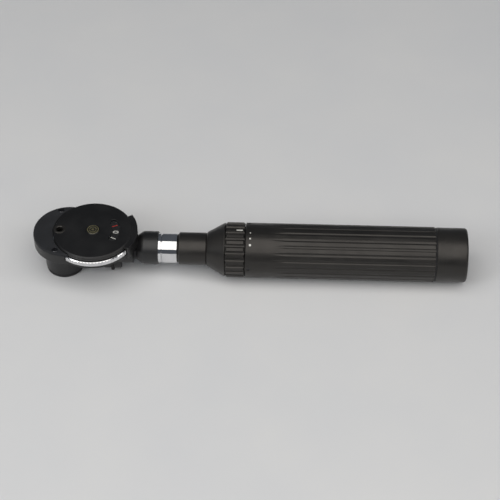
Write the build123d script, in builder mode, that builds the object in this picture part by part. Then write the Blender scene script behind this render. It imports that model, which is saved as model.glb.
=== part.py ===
from build123d import *
import os
from math import cos, radians, sin

# Direct ophthalmoscope: a bayonet optical head on a two-cell battery handle.  Millimetres.
# It lies on the patient's side of the head, with its long axis along X: the brow end of the head
# points to -X, the end cap to +X, and the examiner's face of the head looks up (+Z).
#
# (s, r)     s runs along the long axis from the mouth of the handle's socket, positive toward the
#            end cap and negative into the head; r is the distance from the long axis.
# (a, p, h)  in the head: a runs from the centre of the lens wheel toward the brow, p runs across,
#            and h is the height above the long axis.  a = WHEEL_S - s.

# ---- driving dimensions --------------------------------------------------------------------------
GRIP_RADIUS = 15.0           # battery barrel
HANDLE_LENGTH = 157.0
WHEEL_S = -46.5              # centre of the lens wheel
BROW_A = 32.6                # far end of the head
FIT = 0.05                   # radial gap of a located fit
RUN = 0.10                   # gap beside a moving face

HEAD_LENGTH = BROW_A - WHEEL_S
MOUTH_X = (HEAD_LENGTH - HANDLE_LENGTH) / 2     # centres the whole length on X = 0
AXIS_Z = GRIP_RADIUS
WHEEL_X = MOUTH_X + WHEEL_S

# handle, front to back
SOCKET_RADIUS = 8.9
SOCKET_END = 15.5
CONE_START_RADIUS = 9.6
CONE_END_RADIUS = 14.6
CONE_END = 25.5
SPIGOT_RADIUS = 12.4         # carries the brightness ring and the front of the barrel
SPIGOT_END = 44.0
BORE_RADIUS = 7.1
BORE_END = 24.0
CAVITY_RADIUS = 11.0
LINER_RADIUS = 7.0
LINER_BORE = 5.6
LINER_END = 12.0
BUSH_START = 12.2
SPRING_SEAT = 17.2
BUTTON_FACE = 9.15
RING_START = 25.8
RING_END = 36.2
RING_FLUTES = 24
BARREL_START = 36.6
BARREL_END = 139.6
BARREL_BORE = 13.35
BARREL_FLUTES = 24
FLUTE_START = 51.0           # behind the smooth band that carries the brightness marks
FLUTE_RAMP = 8.0             # length over which the flutes reach their full depth
BULKHEAD_START = 44.6
BULKHEAD_END = 46.2
CELL_RADIUS = 13.1           # size C cell
CELL_LENGTH = 50.0
CELL_START = 46.5
TAIL_RADIUS = 14.2           # threaded tail of the barrel
TAIL_END = 148.6
CAP_START = 140.25
CAP_RADIUS = 14.8
CAP_BORE = 14.3
CAP_FLOOR = 154.0

# bayonet
TUBE_RADIUS = 5.5
TUBE_BORE = 4.35
TUBE_START = -10.5
TUBE_END = 9.5
PIN_S = 2.8
PIN_RADIUS = 1.0
LOCK_ANGLE = 40.0
COLLAR_RADIUS = 8.25
COLLAR_START = -13.5

# head
PAN_LOW = 4.6
PAN_HIGH = 6.7
WHEEL_LOW = 7.0
WHEEL_HIGH = 10.0
WALL_TOP = 10.2
PLATE_LOW = 10.3
PLATE_HIGH = 12.5
STEP_HIGH = 12.0             # lower step of the plate, over the lip
BROW_HIGH = 11.9
PLATE_RADIUS = 21.6
LIP_RADIUS = 24.2
LIP_INNER = 23.15
LIP_HALF_ANGLE = 33.0
POCKET_RADIUS = 23.1
LOBE_A = 13.9
LOBE_RADIUS = BROW_A - LOBE_A
WHEEL_RADIUS = 21.3
RIM_RADIUS = 22.9
RIM_NOTCHES = 80
STATIONS = 16                # lenses round the wheel
STATION_RADIUS = 18.2        # also the distance of the sight hole from the pivot
LENS_RADIUS = 2.5
SCALE_RADIUS = 12.5
SCALE_HALF_ANGLE = 30.0
SCALE_WIDTH = 4.4
SCALE_HIGH = 11.2            # the wheel's numbered ring stands up into the face plate
SCALE_RING = (6.3, 15.2)     # its inner and outer radius
WINDOW_LOW = 11.4            # underside of the window over it
PIVOT_RADIUS = 2.0
SKIRT_RADIUS = 9.1
SKIRT_S = -11.0
SKIRT_LENGTH = 8.0
WAIST_RADIUS = 6.2
NECK_BORE = 4.4
NECK_END = -24.9
BROW_SCREWS = [(19.1, 15.4), (19.1, -15.4)]
KEY_HALF_ANGLE = 8.0         # tongue of the lip that stops the face plate from turning
DETENT_H = (WHEEL_LOW + WHEEL_HIGH) / 2
DETENT_HOLE = 1.5

# patient side of the head
TROUGH_RADIUS = 8.5
TROUGH_BORE = 7.0
TROUGH_START_A = -21.5
TROUGH_END_A = 10.0
TURRET_A = 17.0
TURRET_RADIUS = 10.5
TURRET_BORE = 9.0
TURRET_LOW = -12.0
TURRET_FLOOR = -10.5
WINDOW_HOLE = 6.0
WINDOW_RADIUS = 7.6
BEZEL_RADIUS = 10.2
BEZEL_BORE = 6.5
BULGE_A = (-14.5, -5.5)
BULGE_RADIUS = 7.0
DISC_A = -10.0               # middle of the aperture disc
DISC_H = -6.4                # its axle
DISC_RADIUS = 8.2
DISC_THICKNESS = 1.2
DISC_SLOT = 1.6
DISC_STATIONS = 6
FLANGE_LOW = 3.0
FLANGE_A = (-16.0, 6.0)
FLANGE_P = 10.5
MIRROR_A = 13.0
MIRROR_LENGTH = 6.6
MIRROR_WIDTH = 6.0
MIRROR_THICKNESS = 1.0

# lamp
BULB_RADIUS = 3.0
BULB_TIP = -10.0
BASE_START = -2.0
BASE_END = 8.0
BASE_RADIUS = 4.2

# ---- planes and outlines -------------------------------------------------------------------------
LONG_AXIS = Axis((0, 0, AXIS_Z), (1, 0, 0))
SECTION = Plane(origin=(MOUTH_X, 0, AXIS_Z), x_dir=(1, 0, 0), z_dir=(0, -1, 0))
HEAD_SECTION = Plane(origin=(WHEEL_X, 0, AXIS_Z), x_dir=(-1, 0, 0), z_dir=(0, 1, 0))
# middle line of the window over the wheel's scale, on any face plane
SCALE_ARC = CenterArc((0, 0), SCALE_RADIUS, 180 - SCALE_HALF_ANGLE, 2 * SCALE_HALF_ANGLE)


def s_of(a):
    """The s of a place in the head that is a millimetres beyond the wheel's centre."""
    return WHEEL_S - a


def across(s):
    """Plane across the long axis; its x is Y and its y is the height above the axis."""
    return Plane(origin=(MOUTH_X + s, 0, AXIS_Z), x_dir=(0, 1, 0), z_dir=(1, 0, 0))


def face_plane(h):
    """Plane parallel to the face of the head, with (a, p) as its coordinates."""
    return Plane(origin=(WHEEL_X, 0, AXIS_Z + h), x_dir=(-1, 0, 0), z_dir=(0, 0, 1))


def upright_axis(a, p=0.0):
    """Axis along Z through (a, p) in the head."""
    return Axis((WHEEL_X - a, -p, AXIS_Z), (0, 0, 1))


def half_section(*points):
    """Face through (s, r) points, to be revolved about the long axis."""
    with BuildSketch(SECTION, mode=Mode.PRIVATE) as outline:
        with BuildLine():
            Polyline(*points, close=True)
        make_face()
    return outline.sketch


def ring_section(s_from, s_to, r_inner, r_outer):
    """Rectangular half section of a ring, or of a rod when r_inner is 0."""
    return half_section((s_from, r_inner), (s_to, r_inner), (s_to, r_outer), (s_from, r_outer))


def upright_section(a, *points):
    """Face through (radius, h) points beside the upright axis at a."""
    with BuildSketch(HEAD_SECTION, mode=Mode.PRIVATE) as outline:
        with BuildLine():
            Polyline(*[(a + radius, h) for radius, h in points], close=True)
        make_face()
    return outline.sketch


def lip_sector(h, inner, outer, half_angle=LIP_HALF_ANGLE):
    """Ring sector on the neck's side of the wheel, on the face plane at height h."""
    with BuildSketch(face_plane(h), mode=Mode.PRIVATE) as sector:
        with BuildLine():
            far = CenterArc((0, 0), outer, 180 - half_angle, 2 * half_angle)
            near = CenterArc((0, 0), inner, 180 - half_angle, 2 * half_angle)
            Line(far @ 0, near @ 0)
            Line(far @ 1, near @ 1)
        make_face()
    return sector.sketch


def crescent(h, outer_trim, inner):
    """The brow's crescent on the face plane at height h: the lobe less the round of the wheel."""
    with BuildSketch(face_plane(h), mode=Mode.PRIVATE) as outline:
        with Locations((LOBE_A, 0)):
            Circle(LOBE_RADIUS - outer_trim)
        Circle(inner, mode=Mode.SUBTRACT)
    return outline.sketch


def spring(start, direction, height, turns, radius, wire):
    """Round-wire coil spring from start along direction."""
    with BuildPart(mode=Mode.PRIVATE) as coil:
        with BuildLine() as path:
            Helix(height / turns, height, radius, center=start, direction=direction)
        with BuildSketch(Plane(origin=path.line @ 0, z_dir=path.line % 0)):
            Circle(wire)
        sweep(path=path.line, is_frenet=True)
    return coil.part


os.makedirs("parts", exist_ok=True)

# ---- handle: socket and front cone ---------------------------------------------------------------
WIPER_SLOT = (29.9, 33.5)
WIPER_FROM = 24.0            # the slot's start, in degrees round the axis from +Y toward +Z
WIPER_SWEEP = 132.0
SCREW_S = 38.4
SCREW_ANGLES = (60, 180, 300)

with BuildPart() as handle_cone:
    revolve(half_section((0.0, BORE_RADIUS), (0.0, SOCKET_RADIUS - 0.5), (0.5, SOCKET_RADIUS),
                         (SOCKET_END - 0.6, SOCKET_RADIUS), (SOCKET_END, SOCKET_RADIUS - 0.5),
                         (SOCKET_END, CONE_START_RADIUS - 0.5),
                         (SOCKET_END + 0.5, CONE_START_RADIUS), (CONE_END - 0.5, CONE_END_RADIUS),
                         (CONE_END, CONE_END_RADIUS - 0.2), (CONE_END, SPIGOT_RADIUS),
                         (SPIGOT_END, SPIGOT_RADIUS), (SPIGOT_END, CAVITY_RADIUS),
                         (BORE_END, CAVITY_RADIUS), (BORE_END, BORE_RADIUS)), axis=LONG_AXIS)
    # window in the spigot for the rheostat's wiper
    with BuildSketch(across(WIPER_SLOT[0])):
        with BuildLine():
            far = CenterArc((0, 0), SPIGOT_RADIUS + 1, WIPER_FROM, WIPER_SWEEP)
            near = CenterArc((0, 0), CAVITY_RADIUS - 1, WIPER_FROM, WIPER_SWEEP)
            Line(far @ 0, near @ 0)
            Line(far @ 1, near @ 1)
        make_face()
    extrude(amount=WIPER_SLOT[1] - WIPER_SLOT[0], mode=Mode.SUBTRACT)
    # threaded holes for the barrel's set screws
    with Locations(across(SCREW_S)):
        with PolarLocations(0, len(SCREW_ANGLES), start_angle=SCREW_ANGLES[0]):
            Cylinder(1.0, SPIGOT_RADIUS + 1, rotation=(0, 90, 0), mode=Mode.SUBTRACT,
                     align=(Align.CENTER, Align.CENTER, Align.MIN))
handle_cone.part.label = "handle_cone"
export_step(handle_cone.part, "parts/handle_cone.step")

SLOT_HALF = PIN_RADIUS + 0.15
with BuildPart() as socket_liner:
    revolve(ring_section(0.3, LINER_END, LINER_BORE, LINER_RADIUS), axis=LONG_AXIS)
    # two L-shaped slots: straight in from the mouth, then round to the locked position
    with BuildSketch(across(0)):
        with PolarLocations(6.3, 2, start_angle=90):
            Rectangle(3.2, 2 * SLOT_HALF)
    extrude(amount=PIN_S + SLOT_HALF, mode=Mode.SUBTRACT)
    with BuildSketch(across(PIN_S - SLOT_HALF)):
        for side in (90, 270):
            with BuildLine():
                far = CenterArc((0, 0), 8.0, side, LOCK_ANGLE + 11)
                near = CenterArc((0, 0), 4.6, side, LOCK_ANGLE + 11)
                Line(far @ 0, near @ 0)
                Line(far @ 1, near @ 1)
            make_face()
    extrude(amount=2 * SLOT_HALF, mode=Mode.SUBTRACT)
socket_liner.part.label = "socket_liner"
export_step(socket_liner.part, "parts/socket_liner.step")

STEM_RADIUS = 1.5
SPRING_BORE = 2.7
with BuildPart() as contact_bush:
    revolve(half_section((BUSH_START, SPRING_BORE), (SPRING_SEAT, SPRING_BORE),
                         (SPRING_SEAT, STEM_RADIUS + RUN), (BORE_END, STEM_RADIUS + RUN),
                         (BORE_END, LINER_RADIUS), (BUSH_START, LINER_RADIUS)), axis=LONG_AXIS)
contact_bush.part.label = "contact_bush"
export_step(contact_bush.part, "parts/contact_bush.step")

BUTTON_END = BUTTON_FACE + 1.6
with BuildPart() as contact_plunger:
    revolve(half_section((BUTTON_FACE, 0), (BUTTON_FACE, 1.6), (BUTTON_FACE + 0.5, 2.4),
                         (BUTTON_END, 2.4), (BUTTON_END, STEM_RADIUS), (21.6, STEM_RADIUS),
                         (22.2, 0.9), (22.2, 0)), axis=LONG_AXIS)
contact_plunger.part.label = "contact_plunger"
export_step(contact_plunger.part, "parts/contact_plunger.step")

with BuildPart() as plunger_spring:
    add(spring((MOUTH_X + BUTTON_END + 0.3, 0, AXIS_Z), (1, 0, 0), 5.8, 7, 2.1, 0.22))
plunger_spring.part.label = "plunger_spring"
export_step(plunger_spring.part, "parts/plunger_spring.step")

# ---- handle: brightness ring and rheostat --------------------------------------------------------
MARK_DEPTH = 0.12            # of the engraved marks
INDEX_S = RING_END - 2.8
INDEX_LENGTH = 3.4
INDEX_WIDTH = 0.8
with BuildPart() as brightness_ring:
    revolve(half_section((RING_START, SPIGOT_RADIUS + RUN), (RING_END, SPIGOT_RADIUS + RUN),
                         (RING_END, GRIP_RADIUS - 0.7), (RING_END - 0.7, GRIP_RADIUS),
                         (RING_START + 0.7, GRIP_RADIUS), (RING_START, GRIP_RADIUS - 0.7)),
            axis=LONG_AXIS)
    with BuildSketch(across(RING_START)):
        with PolarLocations(GRIP_RADIUS + 0.45, RING_FLUTES,
                            start_angle=90 + 180 / RING_FLUTES):
            Circle(1.25)
    extrude(amount=RING_END - RING_START, mode=Mode.SUBTRACT)
    # engraved index line on the top ridge, to be filled with paint
    with Locations((MOUTH_X + INDEX_S, 0, AXIS_Z + GRIP_RADIUS)):
        Box(INDEX_LENGTH, INDEX_WIDTH, 2 * MARK_DEPTH, mode=Mode.SUBTRACT)
brightness_ring.part.label = "brightness_ring"
export_step(brightness_ring.part, "parts/brightness_ring.step")

TRACK_START = 29.5
TRACK_STEP = 33.7
TRACK_END = 35.0
TRACK_RADIUS = 10.8
TRACK_BORE = 8.0
with BuildPart() as rheostat_track:
    revolve(half_section((TRACK_START, TRACK_BORE), (TRACK_END, TRACK_BORE),
                         (TRACK_END, CAVITY_RADIUS), (TRACK_STEP, CAVITY_RADIUS),
                         (TRACK_STEP, TRACK_RADIUS), (TRACK_START, TRACK_RADIUS)), axis=LONG_AXIS)
rheostat_track.part.label = "rheostat_track"
export_step(rheostat_track.part, "parts/rheostat_track.step")

WIPER_ANGLE = 30.0
with BuildPart() as rheostat_wiper:
    with BuildSketch(across(WIPER_SLOT[0] + 0.3)):
        with PolarLocations(0, 1, start_angle=WIPER_ANGLE):
            with Locations(((TRACK_RADIUS + RUN + SPIGOT_RADIUS + RUN) / 2, 0)):
                Rectangle(SPIGOT_RADIUS - TRACK_RADIUS - 0.06, 1.8)
    extrude(amount=WIPER_SLOT[1] - WIPER_SLOT[0] - 0.6)
rheostat_wiper.part.label = "rheostat_wiper"
export_step(rheostat_wiper.part, "parts/rheostat_wiper.step")

STRIP_THICKNESS = 0.4
STRIP_WIDTH = 3.0
STRIP_RADIUS = 9.0


def l_strip(s_radial, s_far):
    """Outline of a bent contact strip in the XZ plane: out along a radius, then along s."""
    turn = STRIP_THICKNESS if s_far > s_radial else -STRIP_THICKNESS
    with BuildSketch(SECTION, mode=Mode.PRIVATE) as outline:
        with BuildLine():
            Polyline((s_radial, 2.0), (s_radial, -STRIP_RADIUS - STRIP_THICKNESS),
                     (s_far, -STRIP_RADIUS - STRIP_THICKNESS), (s_far, -STRIP_RADIUS),
                     (s_radial + turn, -STRIP_RADIUS), (s_radial + turn, 2.0), close=True)
        make_face()
    return outline.sketch


with BuildPart() as collector_strip:
    extrude(l_strip(BORE_END + 0.05, TRACK_START), amount=STRIP_WIDTH / 2, both=True)
collector_strip.part.label = "collector_strip"
export_step(collector_strip.part, "parts/collector_strip.step")

RIVET_RADIUS = 1.4
with BuildPart() as supply_strip:
    extrude(l_strip(BULKHEAD_START - FIT, TRACK_END), amount=STRIP_WIDTH / 2, both=True)
    with BuildSketch(across(BULKHEAD_START - 2)):
        Circle(RIVET_RADIUS)
    extrude(amount=2, mode=Mode.SUBTRACT)
supply_strip.part.label = "supply_strip"
export_step(supply_strip.part, "parts/supply_strip.step")

with BuildPart() as bulkhead:
    revolve(half_section((BULKHEAD_START, RIVET_RADIUS), (BULKHEAD_END, RIVET_RADIUS),
                         (BULKHEAD_END, BARREL_BORE), (BULKHEAD_START, BARREL_BORE)),
            axis=LONG_AXIS)
bulkhead.part.label = "bulkhead"
export_step(bulkhead.part, "parts/bulkhead.step")

RIVET_HEAD = BULKHEAD_START - FIT - STRIP_THICKNESS
with BuildPart() as battery_contact:
    revolve(half_section((RIVET_HEAD - 0.8, 0), (RIVET_HEAD - 0.8, 1.8),
                         (RIVET_HEAD, 2.4), (RIVET_HEAD, RIVET_RADIUS),
                         (BULKHEAD_END, RIVET_RADIUS), (BULKHEAD_END, 3.0),
                         (BULKHEAD_END + 0.25, 2.8), (BULKHEAD_END + 0.25, 0)), axis=LONG_AXIS)
battery_contact.part.label = "battery_contact"
export_step(battery_contact.part, "parts/battery_contact.step")

# ---- handle: battery barrel ----------------------------------------------------------------------
THREAD_PITCH = 1.5
THREAD_TURNS = 5
THREAD_GROOVE = 1.1          # width of a groove where it opens
THREAD_START = 148.0         # rear edge of the rearmost groove on the barrel's tail


def thread(start, crest, root):
    """(s, r) points of a thread cut as rings, from the rear forward, to go into a half section."""
    points = []
    for turn in range(THREAD_TURNS):
        s = start - turn * THREAD_PITCH
        points += [(s, crest), (s - THREAD_GROOVE / 2, root), (s - THREAD_GROOVE, crest)]
    return points


FLUTE_CUTTER = 1.6
FLUTE_DEPTH = 0.35
FLUTE_CENTRE = GRIP_RADIUS + FLUTE_CUTTER - FLUTE_DEPTH
FLUTE_ANGLE = 90 + 180 / BARREL_FLUTES
DOT_S = BARREL_START + 2.6
DOTS = ((97, 0.35), (111, 0.5), (125, 0.65))     # angle from +Y toward +Z, and radius
with BuildPart() as barrel:
    revolve(half_section((BARREL_START, SPIGOT_RADIUS + FIT), (BULKHEAD_START, SPIGOT_RADIUS + FIT),
                         (BULKHEAD_START, BARREL_BORE), (TAIL_END, BARREL_BORE),
                         (TAIL_END, TAIL_RADIUS - 0.4), (TAIL_END - 0.4, TAIL_RADIUS),
                         *thread(THREAD_START, TAIL_RADIUS, TAIL_RADIUS - 0.45),
                         (BARREL_END, TAIL_RADIUS), (BARREL_END, GRIP_RADIUS - 0.4),
                         (BARREL_END - 0.4, GRIP_RADIUS), (BARREL_START + 0.4, GRIP_RADIUS),
                         (BARREL_START, GRIP_RADIUS - 0.4)), axis=LONG_AXIS)
    # shallow flutes that deepen over a ramp and run out through the rear end
    with Locations(across(FLUTE_START)):
        with PolarLocations(FLUTE_CENTRE, BARREL_FLUTES, start_angle=FLUTE_ANGLE):
            Cone(FLUTE_CUTTER - FLUTE_DEPTH + 0.02, FLUTE_CUTTER, FLUTE_RAMP, mode=Mode.SUBTRACT,
                 align=(Align.CENTER, Align.CENTER, Align.MIN))
    with BuildSketch(across(FLUTE_START + FLUTE_RAMP)):
        with PolarLocations(FLUTE_CENTRE, BARREL_FLUTES, start_angle=FLUTE_ANGLE):
            Circle(FLUTE_CUTTER)
    extrude(amount=BARREL_END + 0.5 - FLUTE_START - FLUTE_RAMP, mode=Mode.SUBTRACT)
    # engraved dots that grow with the lamp's brightness, to be filled with paint
    with Locations(across(DOT_S)):
        for angle, radius in DOTS:
            with PolarLocations(GRIP_RADIUS, 1, start_angle=angle):
                Cylinder(radius, 2 * MARK_DEPTH, rotation=(0, 90, 0), mode=Mode.SUBTRACT)
    with Locations(across(SCREW_S)):
        with PolarLocations(0, len(SCREW_ANGLES), start_angle=SCREW_ANGLES[0]):
            Cylinder(1.0, GRIP_RADIUS + 1, rotation=(0, 90, 0), mode=Mode.SUBTRACT,
                     align=(Align.CENTER, Align.CENTER, Align.MIN))
barrel.part.label = "barrel"
export_step(barrel.part, "parts/barrel.step")

SCREW_TIP = CAVITY_RADIUS + 0.3
with BuildPart() as barrel_screws:
    with Locations(across(SCREW_S)):
        with PolarLocations(SCREW_TIP, len(SCREW_ANGLES), start_angle=SCREW_ANGLES[0]):
            Cylinder(1.0, GRIP_RADIUS - 0.25 - SCREW_TIP, rotation=(0, 90, 0),
                     align=(Align.CENTER, Align.CENTER, Align.MIN))
        with PolarLocations(GRIP_RADIUS - 0.9, len(SCREW_ANGLES), start_angle=SCREW_ANGLES[0]):
            Box(1.6, 2.4, 0.4, align=(Align.MIN, Align.CENTER, Align.CENTER), mode=Mode.SUBTRACT)
barrel_screws.part.label = "barrel_screws"
export_step(barrel_screws.part, "parts/barrel_screws.step")

NUB_RADIUS = 3.1
NUB_LENGTH = 1.5


def cell_section(start):
    """Half section of one size C cell with its positive nub toward the head."""
    body = start + NUB_LENGTH
    end = start + CELL_LENGTH
    return half_section((start, 0), (start, NUB_RADIUS - 0.3), (start + 0.3, NUB_RADIUS),
                        (body, NUB_RADIUS), (body, CELL_RADIUS - 0.8), (body + 0.8, CELL_RADIUS),
                        (end - 0.8, CELL_RADIUS), (end, CELL_RADIUS - 0.8), (end, 0))


with BuildPart() as front_battery:
    revolve(cell_section(CELL_START), axis=LONG_AXIS)
front_battery.part.label = "front_battery"
export_step(front_battery.part, "parts/front_battery.step")

with BuildPart() as rear_battery:
    revolve(cell_section(CELL_START + CELL_LENGTH), axis=LONG_AXIS)
rear_battery.part.label = "rear_battery"
export_step(rear_battery.part, "parts/rear_battery.step")

# ---- handle: end cap -----------------------------------------------------------------------------
CAP_ROUND = 1.4
CAP_WELL = 12.8              # bore beyond the thread
CAP_THREAD_END = 149.2
with BuildPart() as end_cap:
    revolve(half_section((CAP_START, CAP_BORE), (CAP_START, CAP_RADIUS - 0.3),
                         (CAP_START + 0.3, CAP_RADIUS), (HANDLE_LENGTH, CAP_RADIUS),
                         (HANDLE_LENGTH, 0), (CAP_FLOOR, 0),
                         (CAP_FLOOR, CAP_WELL), (CAP_THREAD_END, CAP_WELL),
                         (CAP_THREAD_END, CAP_BORE),
                         *thread(CAP_THREAD_END - 1.0, CAP_BORE, CAP_BORE + 0.22)),
            axis=LONG_AXIS)
    fillet(end_cap.faces().sort_by(Axis.X)[-1].edges(), CAP_ROUND)
    # shallow dish in the end face
    with BuildSketch(across(HANDLE_LENGTH)):
        Circle(9.0)
    extrude(amount=-0.6, taper=45, mode=Mode.SUBTRACT)
end_cap.part.label = "end_cap"
export_step(end_cap.part, "parts/end_cap.step")

with BuildPart() as cap_seal:
    revolve(ring_section(BARREL_END + 0.05, CAP_START - 0.05, TAIL_RADIUS + 0.02, CAP_RADIUS - 0.2),
            axis=LONG_AXIS)
cap_seal.part.label = "cap_seal"
export_step(cap_seal.part, "parts/cap_seal.step")

DISC_START = 152.6
with BuildPart() as cap_contact:
    revolve(half_section((DISC_START, 0), (DISC_START, 11.0), (DISC_START + 0.6, 11.0),
                         (DISC_START + 0.6, 4.0), (CAP_FLOOR - 0.1, 4.0), (CAP_FLOOR - 0.1, 0)),
            axis=LONG_AXIS)
cap_contact.part.label = "cap_contact"
export_step(cap_contact.part, "parts/cap_contact.step")

SPRING_WIRE = 0.55
with BuildPart() as cap_spring:
    add(spring((MOUTH_X + DISC_START - SPRING_WIRE, 0, AXIS_Z), (-1, 0, 0), 4.7, 3, 8.0,
               SPRING_WIRE))
cap_spring.part.label = "cap_spring"
export_step(cap_spring.part, "parts/cap_spring.step")

# ---- head: bayonet, collar and lamp --------------------------------------------------------------
with BuildPart() as coupling_tube:
    revolve(half_section((TUBE_START, TUBE_BORE), (TUBE_END, TUBE_BORE),
                         (TUBE_END, TUBE_RADIUS - 0.4), (TUBE_END - 0.4, TUBE_RADIUS),
                         (TUBE_START, TUBE_RADIUS)), axis=LONG_AXIS)
    with BuildSketch(Plane(origin=(MOUTH_X + PIN_S, 0, AXIS_Z))):
        Circle(PIN_RADIUS - 0.3)
    extrude(amount=TUBE_RADIUS + 1, both=True, mode=Mode.SUBTRACT)
coupling_tube.part.label = "coupling_tube"
export_step(coupling_tube.part, "parts/coupling_tube.step")

PIN_TOP = 6.7
with BuildPart() as bayonet_pins:
    for side in (1, -1):
        with BuildSketch(Plane(origin=(MOUTH_X + PIN_S, 0, AXIS_Z + side * (TUBE_RADIUS + 0.02)))):
            Circle(PIN_RADIUS)
        extrude(amount=side * (PIN_TOP - TUBE_RADIUS - 0.02))
        with BuildSketch(Plane(origin=(MOUTH_X + PIN_S, 0, AXIS_Z + side * (TUBE_BORE + 0.2)))):
            Circle(PIN_RADIUS - 0.3)
        extrude(amount=side * (TUBE_RADIUS - TUBE_BORE))
bayonet_pins.part.label = "bayonet_pins"
export_step(bayonet_pins.part, "parts/bayonet_pins.step")

GROOVE_S = -9.2
with BuildPart() as collar:
    revolve(half_section((COLLAR_START, NECK_BORE), (COLLAR_START, COLLAR_RADIUS),
                         (GROOVE_S - 0.5, COLLAR_RADIUS), (GROOVE_S, COLLAR_RADIUS - 0.5),
                         (GROOVE_S + 0.5, COLLAR_RADIUS), (-0.9, COLLAR_RADIUS),
                         (-0.1, COLLAR_RADIUS - 0.8), (-0.1, TUBE_RADIUS),
                         (TUBE_START, TUBE_RADIUS), (TUBE_START, NECK_BORE)), axis=LONG_AXIS)
collar.part.label = "collar"
export_step(collar.part, "parts/collar.step")

with BuildPart() as bulb_base:
    revolve(half_section((BASE_START, 0), (BASE_START, 3.4), (-1.0, BASE_RADIUS),
                         (-0.2, BASE_RADIUS), (0.2, 3.9), (BASE_END - 1.2, 3.9), (BASE_END, 3.0),
                         (BASE_END, 0)), axis=LONG_AXIS)
bulb_base.part.label = "bulb_base"
export_step(bulb_base.part, "parts/bulb_base.step")

with BuildPart() as bulb_insulator:
    revolve(half_section((BASE_END, 0), (BASE_END, 2.9), (BASE_END + 0.7, 2.5),
                         (BASE_END + 0.7, 0)), axis=LONG_AXIS)
bulb_insulator.part.label = "bulb_insulator"
export_step(bulb_insulator.part, "parts/bulb_insulator.step")

CONTACT_START = BASE_END + 0.7
with BuildPart() as bulb_contact:
    revolve(half_section((CONTACT_START, 0), (CONTACT_START, 1.5),
                         (BUTTON_FACE - RUN - 0.2, 1.3), (BUTTON_FACE - RUN, 0.7),
                         (BUTTON_FACE - RUN, 0)), axis=LONG_AXIS)
bulb_contact.part.label = "bulb_contact"
export_step(bulb_contact.part, "parts/bulb_contact.step")


def bulb_outline(radius, tip, base):
    """Half section of a round-ended bulb about the long axis."""
    with BuildSketch(SECTION, mode=Mode.PRIVATE) as outline:
        with BuildLine():
            dome = CenterArc((tip + radius, 0), radius, 90, 90)
            Line(dome @ 1, (base, 0))
            Line((base, 0), (base, radius))
            Line((base, radius), dome @ 0)
        make_face()
    return outline.sketch


with BuildPart() as bulb_glass:
    revolve(bulb_outline(BULB_RADIUS, BULB_TIP, BASE_START), axis=LONG_AXIS)
    revolve(bulb_outline(BULB_RADIUS - 0.4, BULB_TIP + 0.8, BASE_START - 0.5), axis=LONG_AXIS,
            mode=Mode.SUBTRACT)
bulb_glass.part.label = "bulb_glass"
export_step(bulb_glass.part, "parts/bulb_glass.step")

LEG_TOP = BASE_START - 3.8
with BuildPart() as bulb_filament:
    with BuildSketch(across(LEG_TOP)):
        with Locations((1.1, 0), (-1.1, 0)):
            Circle(0.12)
    extrude(amount=BASE_START - 0.5 - LEG_TOP)
    with Locations(across(LEG_TOP)):
        Cylinder(0.25, 2.4, rotation=(0, 90, 0))
bulb_filament.part.label = "bulb_filament"
export_step(bulb_filament.part, "parts/bulb_filament.step")

# ---- head: housing -------------------------------------------------------------------------------
SCREW_CORE = 0.9
COVER_SCREWS = [(a, side * FLANGE_P) for a in FLANGE_A for side in (1, -1)]
FLARE_S = SKIRT_S - SKIRT_LENGTH
with BuildPart() as housing:
    # neck, with a skirt round the collar
    revolve(half_section((NECK_END, NECK_BORE), (COLLAR_START - RUN, NECK_BORE),
                         (COLLAR_START - RUN, COLLAR_RADIUS + FIT), (SKIRT_S, COLLAR_RADIUS + FIT),
                         (SKIRT_S, SKIRT_RADIUS - 0.4), (SKIRT_S - 0.4, SKIRT_RADIUS),
                         (FLARE_S, SKIRT_RADIUS), (FLARE_S - 1.0, SKIRT_RADIUS - 0.4),
                         (FLARE_S - 4.2, WAIST_RADIUS + 0.2), (FLARE_S - 5.0, WAIST_RADIUS),
                         (NECK_END, TROUGH_RADIUS)), axis=LONG_AXIS)
    # floor under the wheel
    with BuildSketch(face_plane(PAN_LOW)):
        Circle(PLATE_RADIUS)
        with Locations((LOBE_A, 0)):
            Circle(LOBE_RADIUS)
    extrude(amount=PAN_HIGH - PAN_LOW)
    extrude(lip_sector(PAN_LOW, PLATE_RADIUS - 6, LIP_RADIUS), amount=PAN_HIGH - PAN_LOW)
    # walls round the wheel: the brow's crescent and the lip above the neck
    extrude(crescent(PAN_HIGH, 0, POCKET_RADIUS), amount=WALL_TOP - PAN_HIGH)
    extrude(lip_sector(PAN_HIGH, LIP_INNER, LIP_RADIUS), amount=WALL_TOP - PAN_HIGH)
    extrude(lip_sector(WALL_TOP, LIP_INNER + 0.1, LIP_RADIUS - 0.1, KEY_HALF_ANGLE), amount=1.1)
    with BuildSketch(face_plane(PAN_HIGH)):
        Circle(POCKET_RADIUS)
    extrude(amount=WALL_TOP, mode=Mode.SUBTRACT)
    # sight line, pivot and screw holes
    with BuildSketch(face_plane(PAN_LOW)):
        with Locations((STATION_RADIUS, 0)):
            Circle(LENS_RADIUS - 0.2)
        Circle(PIVOT_RADIUS)
    extrude(amount=PAN_HIGH - PAN_LOW, mode=Mode.SUBTRACT)
    with BuildSketch(face_plane(PAN_LOW)):
        with Locations(*COVER_SCREWS):
            Circle(SCREW_CORE)
    extrude(amount=1.3, mode=Mode.SUBTRACT)
    with BuildSketch(face_plane(WALL_TOP)):
        with Locations(*BROW_SCREWS):
            Circle(SCREW_CORE)
    extrude(amount=-4.0, mode=Mode.SUBTRACT)
    # radial hole for the wheel's click stop
    with BuildSketch(across(s_of(POCKET_RADIUS - 1))):
        with Locations((0, DETENT_H)):
            Circle(DETENT_HOLE)
    extrude(amount=POCKET_RADIUS - BROW_A - 2, mode=Mode.SUBTRACT)
housing.part.label = "housing"
export_step(housing.part, "parts/housing.step")

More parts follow.
